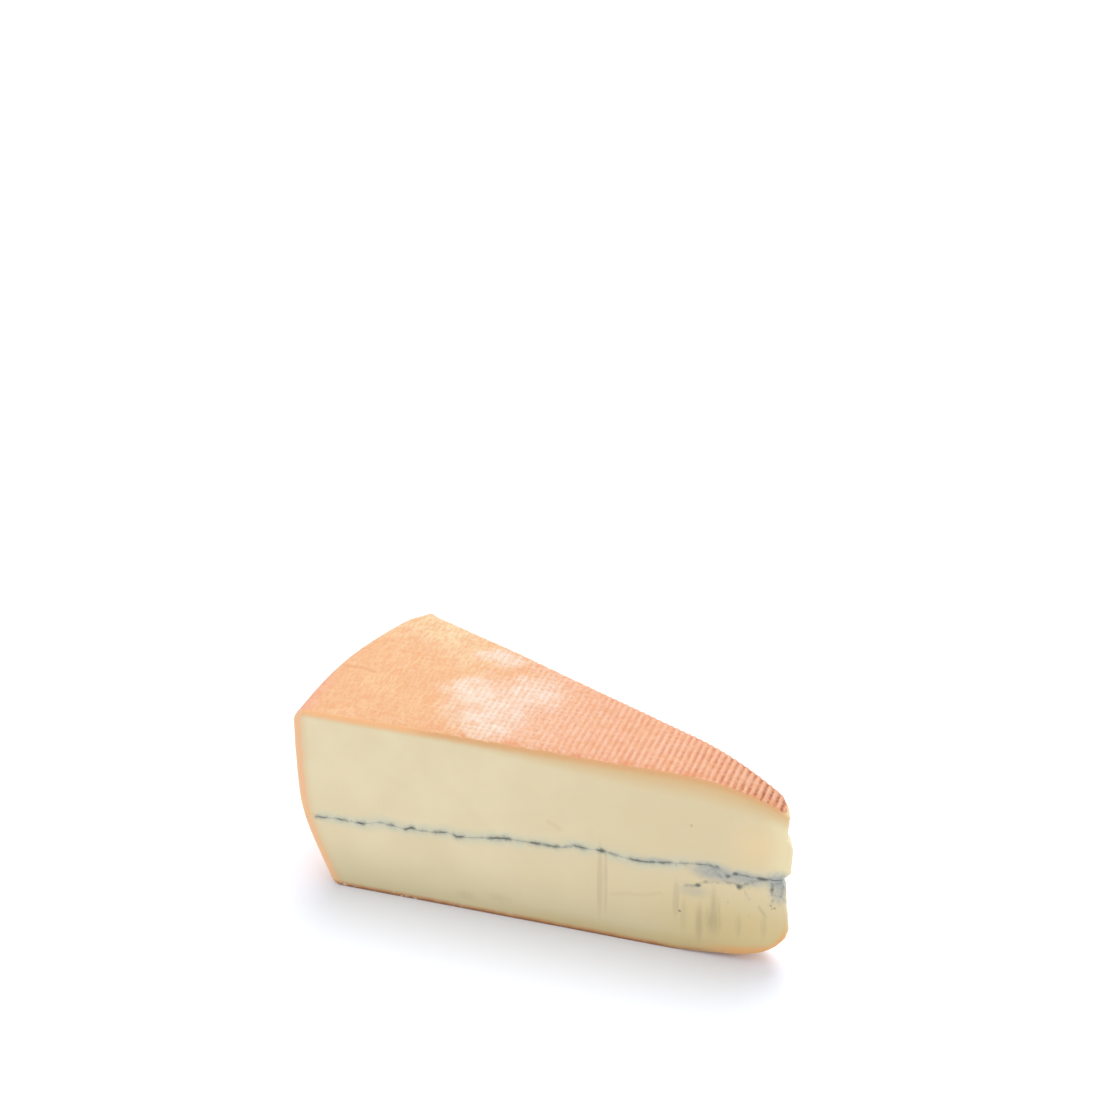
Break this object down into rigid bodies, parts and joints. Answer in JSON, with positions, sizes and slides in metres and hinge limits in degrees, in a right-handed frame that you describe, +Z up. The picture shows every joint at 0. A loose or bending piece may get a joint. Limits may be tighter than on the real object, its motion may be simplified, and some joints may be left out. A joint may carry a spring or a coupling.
{
  "type": "morbier cheese wedge",
  "caption": "Wedge of semi-hard cheese cut from a flat round wheel, with a cloth-ribbed orange rind, a blunt tip and a thin dark ash layer through the middle.",
  "frame": {"origin": "on the table, under the middle of the wedge's box", "axes": "+Z up; +X from the heel of the wheel to the blunt tip, along the middle of the wedge; the shown cut face looks to -Y"},
  "size_m": [0.1654, 0.0765, 0.0653],
  "materials": {
    "cheese": "soft satin ivory paste with a matt peach-orange rind",
    "ash": "matt blue-black"
  },
  "bodies": {
    "root": {"cheese": "cheese", "ash_layer": "ash"}
  },
  "joints": []
}
